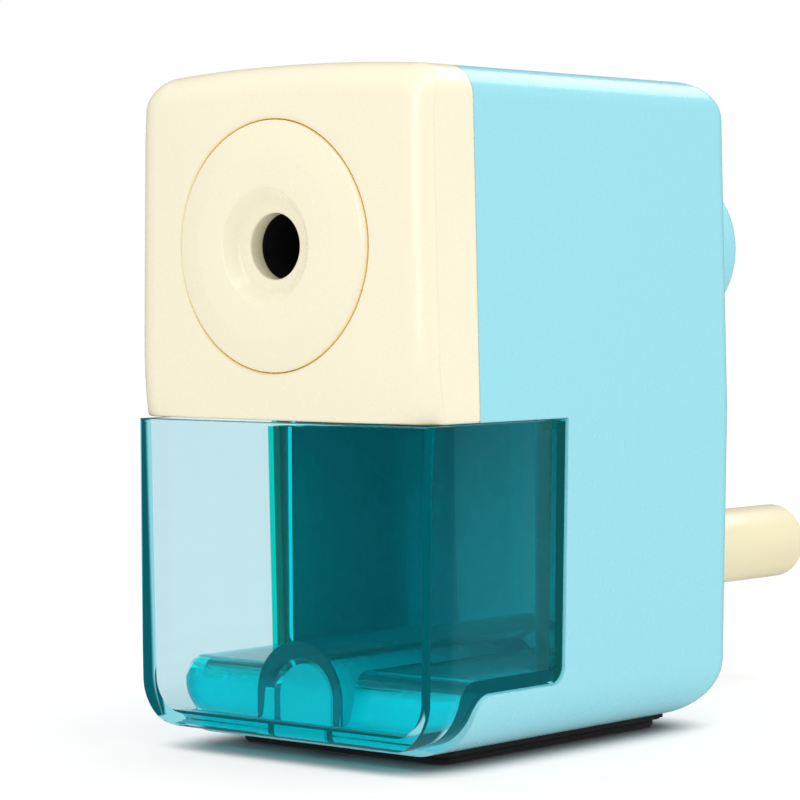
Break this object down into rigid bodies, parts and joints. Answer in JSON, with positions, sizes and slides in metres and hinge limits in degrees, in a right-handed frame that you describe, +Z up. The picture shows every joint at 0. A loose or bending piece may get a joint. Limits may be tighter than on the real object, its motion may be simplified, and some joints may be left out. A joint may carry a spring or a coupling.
{
  "type": "crank pencil sharpener",
  "caption": "Upright desk pencil sharpener: rounded box casing with a guide disc in front, a clear pull-out shavings drawer and a hand crank that drives a helical cutter inside.",
  "frame": {"origin": "centre of the foot pad's underside, where the sharpener stands", "axes": "-Y is the front, where the pencil goes in and the drawer pulls out; +Y is the crank side, along the shaft; +Z is up"},
  "size_m": [0.0586, 0.1304, 0.1013],
  "materials": {
    "blue_shell": "satin gloss, pale sky blue",
    "cream_shell": "satin gloss, cream",
    "clear_teal": "clear moulded plastic tinted teal",
    "dark_plastic": "matt black moulding",
    "gear_plastic": "natural acetal",
    "pad_rubber": "matt black foam rubber",
    "zinc": "die-cast zinc, tumbled",
    "steel": "bright steel",
    "tool_steel": "ground tool steel, lightly oiled",
    "bush_brass": "turned brass"
  },
  "bodies": {
    "body": {"housing": "blue_shell", "front_cover": "cream_shell", "guide_disc": "cream_shell", "guide_sleeve": "dark_plastic", "cover_screw_1": "steel", "cover_screw_2": "steel", "cover_screw_3": "steel", "cover_screw_4": "steel", "base_plate": "dark_plastic", "base_screw_1": "steel", "base_screw_2": "steel", "base_screw_3": "steel", "base_screw_4": "steel", "foot_pad": "pad_rubber", "cutter_holder": "cream_shell", "ring_gear": "gear_plastic", "shaft_bush": "bush_brass", "thrust_washer": "gear_plastic"},
    "drawer": {"drawer": "clear_teal"},
    "crank": {"shaft": "steel", "cutter_carrier": "zinc", "cutter_axle": "steel", "retaining_clip": "steel", "crank_arm": "blue_shell", "crank_screw": "steel", "knob_pin": "steel"},
    "cutter": {"cutter_roller": "tool_steel", "cutter_pinion": "steel"},
    "knob": {"handle_knob": "cream_shell"}
  },
  "joints": [
    {"name": "drawer_slide", "type": "slide", "parent": "body", "child": "drawer", "axis": [0, -1, 0], "range_m": [0, 0.055]},
    {"name": "crank_turn", "type": "hinge", "parent": "body", "child": "crank", "pos_m": [0, 0.04, 0.075], "axis": [0, 1, 0], "continuous": true},
    {"name": "cutter_spin", "type": "hinge", "parent": "crank", "child": "cutter", "pos_m": [0, 0.02, 0.0796], "axis": [0, 0.9848, -0.1736], "continuous": true},
    {"name": "knob_spin", "type": "hinge", "parent": "crank", "child": "knob", "pos_m": [0, 0.074, 0.0242], "axis": [0, 1, 0], "continuous": true}
  ],
  "couplings": [
    {"joint": "cutter_spin", "follows": "crank_turn", "ratio": -2}
  ]
}
